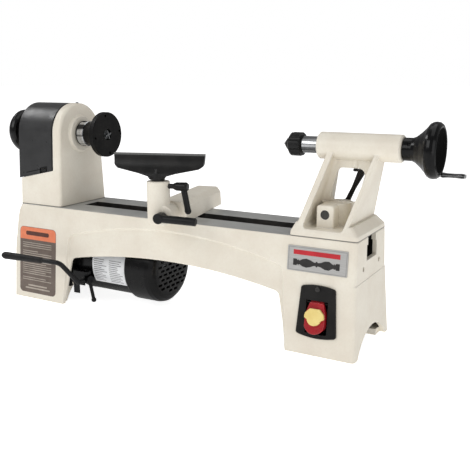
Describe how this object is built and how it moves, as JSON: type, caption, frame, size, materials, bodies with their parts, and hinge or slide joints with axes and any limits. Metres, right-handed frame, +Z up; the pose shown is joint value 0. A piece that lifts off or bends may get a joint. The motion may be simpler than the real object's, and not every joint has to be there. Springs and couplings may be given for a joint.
{
  "type": "wood lathe",
  "caption": "Bench-top wood lathe: arched cast bed, headstock with belt cover, faceplate, sliding banjo and tool rest, cranked tailstock, and a motor slung under the bed.",
  "frame": {"origin": "on the bench top, midway between the four bench bolt holes, below the spindle axis", "axes": "+X along the spindle axis from headstock to tailstock, -Y towards the operator, +Z up"},
  "size_m": [0.8234, 0.2264, 0.3555],
  "materials": {
    "cream_paint": "satin",
    "dark_paint": "satin",
    "black_motor_paint": "semi-gloss",
    "black_oxide": "satin",
    "black_cast": "matte",
    "gloss_black": "gloss",
    "black_plastic": "matte",
    "centre_black": "satin",
    "chrome": "polished",
    "bright_steel": "ground",
    "zinc_steel": "plated",
    "pulley_alloy": "machined",
    "core_steel": "varnished",
    "belt_rubber": "matte",
    "red_plastic": "semi-gloss",
    "yellow_plastic": "satin",
    "badge_metal": "printed"
  },
  "bodies": {
    "frame": {"bed": "cream_paint", "headstock": "cream_paint", "headstock_screws": "black_oxide", "cover_hinge_pin": "bright_steel", "cover_latch": "dark_paint", "door_hinge_pin": "bright_steel", "front_bearing": "bright_steel", "rear_bearing": "bright_steel", "swing_pin": "bright_steel", "switch_plate": "black_plastic", "switch_box": "black_plastic", "switch_screw": "black_oxide", "badge": "badge_metal", "drive_belt": "belt_rubber"},
    "cover": {"belt_cover": "dark_paint"},
    "door": {"leg_door": "dark_paint", "door_knob": "black_plastic"},
    "spindle": {"spindle": "chrome", "spindle_pulley": "pulley_alloy", "faceplate": "black_cast", "spur_centre": "chrome", "head_wheel": "gloss_black", "head_wheel_screw": "black_oxide"},
    "motor": {"motor_body": "black_motor_paint", "motor_stator": "core_steel", "motor_front_bell": "black_motor_paint", "motor_rear_bell": "black_motor_paint", "fan_cover": "black_motor_paint", "motor_plate": "black_motor_paint", "tension_lever": "black_oxide", "tension_grip": "black_plastic"},
    "rotor": {"motor_rotor": "bright_steel", "motor_fan": "black_plastic", "motor_pulley": "pulley_alloy"},
    "motor_lock": {"motor_lock_lever": "black_oxide"},
    "banjo_clamp": {"banjo_clamp_plate": "zinc_steel"},
    "banjo_hanger": {"banjo_bolt": "zinc_steel"},
    "banjo": {"banjo": "cream_paint"},
    "banjo_cam": {"banjo_shaft": "bright_steel", "banjo_lever": "black_oxide"},
    "rest_post": {"rest_post": "bright_steel"},
    "rest_head": {"rest_head": "black_cast"},
    "rest_lock": {"rest_lock_lever": "black_oxide"},
    "tailstock": {"tailstock": "cream_paint", "tail_bolt": "zinc_steel", "tail_clamp_plate": "zinc_steel", "quill_key_screw": "black_oxide"},
    "tail_cam": {"tail_shaft": "bright_steel", "tail_lever": "black_oxide"},
    "tail_wheel": {"tail_wheel": "gloss_black", "tail_wheel_screw": "black_oxide", "lead_screw": "bright_steel", "handle_pin": "bright_steel"},
    "handle": {"handle": "chrome"},
    "quill": {"quill": "bright_steel", "live_centre_body": "centre_black"},
    "centre_tip": {"live_centre_tip": "bright_steel"},
    "quill_lock": {"quill_lock_lever": "black_oxide"},
    "switch_paddle": {"switch_paddle": "red_plastic"},
    "switch_key": {"switch_key": "yellow_plastic"}
  },
  "joints": [
    {"name": "cover_hinge", "type": "hinge", "parent": "frame", "child": "cover", "pos_m": [-0.29, 0.0625, 0.292], "axis": [-1, 0, 0], "range_deg": [0, 95]},
    {"name": "door_hinge", "type": "hinge", "parent": "frame", "child": "door", "pos_m": [-0.3454, 0, 0.088], "axis": [0, 1, 0], "range_deg": [0, 100]},
    {"name": "spindle_spin", "type": "hinge", "parent": "frame", "child": "spindle", "pos_m": [-0.25, 0, 0.3002], "axis": [1, 0, 0], "continuous": true},
    {"name": "motor_swing", "type": "hinge", "parent": "frame", "child": "motor", "pos_m": [-0.2, 0.059, 0.076], "axis": [-1, 0, 0], "range_deg": [0, 7], "deforming": ["drive_belt"]},
    {"name": "rotor_spin", "type": "hinge", "parent": "motor", "child": "rotor", "pos_m": [-0.2, 0.004, 0.073], "axis": [1, 0, 0], "continuous": true},
    {"name": "motor_lock_turn", "type": "hinge", "parent": "frame", "child": "motor_lock", "pos_m": [-0.2, -0.057, 0.046], "axis": [1, 0, 0], "range_deg": [-40, 40]},
    {"name": "banjo_slide", "type": "slide", "parent": "frame", "child": "banjo_clamp", "axis": [1, 0, 0], "range_m": [-0.18, 0.166]},
    {"name": "banjo_turn", "type": "hinge", "parent": "banjo_clamp", "child": "banjo_hanger", "pos_m": [-0.00455, 0, 0.17], "axis": [0, 0, 1], "range_deg": [-8, 8]},
    {"name": "banjo_reach", "type": "slide", "parent": "banjo_hanger", "child": "banjo", "axis": [0.1977, -0.9803, 0], "range_m": [0, 0.085]},
    {"name": "banjo_lock", "type": "hinge", "parent": "banjo", "child": "banjo_cam", "pos_m": [0.01225, -0.08333, 0.1865], "axis": [-0.1977, 0.9803, 0], "range_deg": [-90, 30]},
    {"name": "rest_lift", "type": "slide", "parent": "banjo", "child": "rest_post", "axis": [0, 0, 1], "range_m": [0, 0.03]},
    {"name": "rest_turn", "type": "hinge", "parent": "rest_post", "child": "rest_head", "pos_m": [0, -0.0858, 0.24], "axis": [0, 0, 1], "continuous": true},
    {"name": "rest_lock_turn", "type": "hinge", "parent": "banjo", "child": "rest_lock", "pos_m": [0, -0.0858, 0.233], "axis": [0.9803, 0.1977, 0], "range_deg": [-90, 90]},
    {"name": "tail_slide", "type": "slide", "parent": "frame", "child": "tailstock", "axis": [1, 0, 0], "range_m": [-0.165, 0]},
    {"name": "tail_lock", "type": "hinge", "parent": "tailstock", "child": "tail_cam", "pos_m": [0.263, 0.04, 0.2035], "axis": [0, 1, 0], "range_deg": [-36, 20]},
    {"name": "wheel_turn", "type": "hinge", "parent": "tailstock", "child": "tail_wheel", "pos_m": [0.37, 0, 0.3002], "axis": [-1, 0, 0], "range_deg": [-2520, 4680]},
    {"name": "quill_slide", "type": "slide", "parent": "tailstock", "child": "quill", "axis": [-1, 0, 0], "range_m": [-0.0141, 0.0261]},
    {"name": "centre_spin", "type": "hinge", "parent": "quill", "child": "centre_tip", "pos_m": [0.19, 0, 0.3002], "axis": [1, 0, 0], "continuous": true},
    {"name": "handle_spin", "type": "hinge", "parent": "tail_wheel", "child": "handle", "pos_m": [0.43, 0, 0.2672], "axis": [1, 0, 0], "continuous": true},
    {"name": "quill_lock_turn", "type": "hinge", "parent": "tailstock", "child": "quill_lock", "pos_m": [0.268, 0.03, 0.3002], "axis": [0, 1, 0], "range_deg": [-60, 10]},
    {"name": "paddle_swing", "type": "hinge", "parent": "frame", "child": "switch_paddle", "pos_m": [0.269, -0.07254, 0.07922], "axis": [-1, 0, 0], "range_deg": [0, 14]},
    {"name": "key_slide", "type": "slide", "parent": "switch_paddle", "child": "switch_key", "axis": [0, -0.9581, 0.2866], "range_m": [0, 0.012]}
  ],
  "couplings": [
    {"joint": "rotor_spin", "follows": "spindle_spin", "ratio": 1.4444},
    {"joint": "quill_slide", "follows": "wheel_turn", "m_per_rad": 0.00031831}
  ]
}
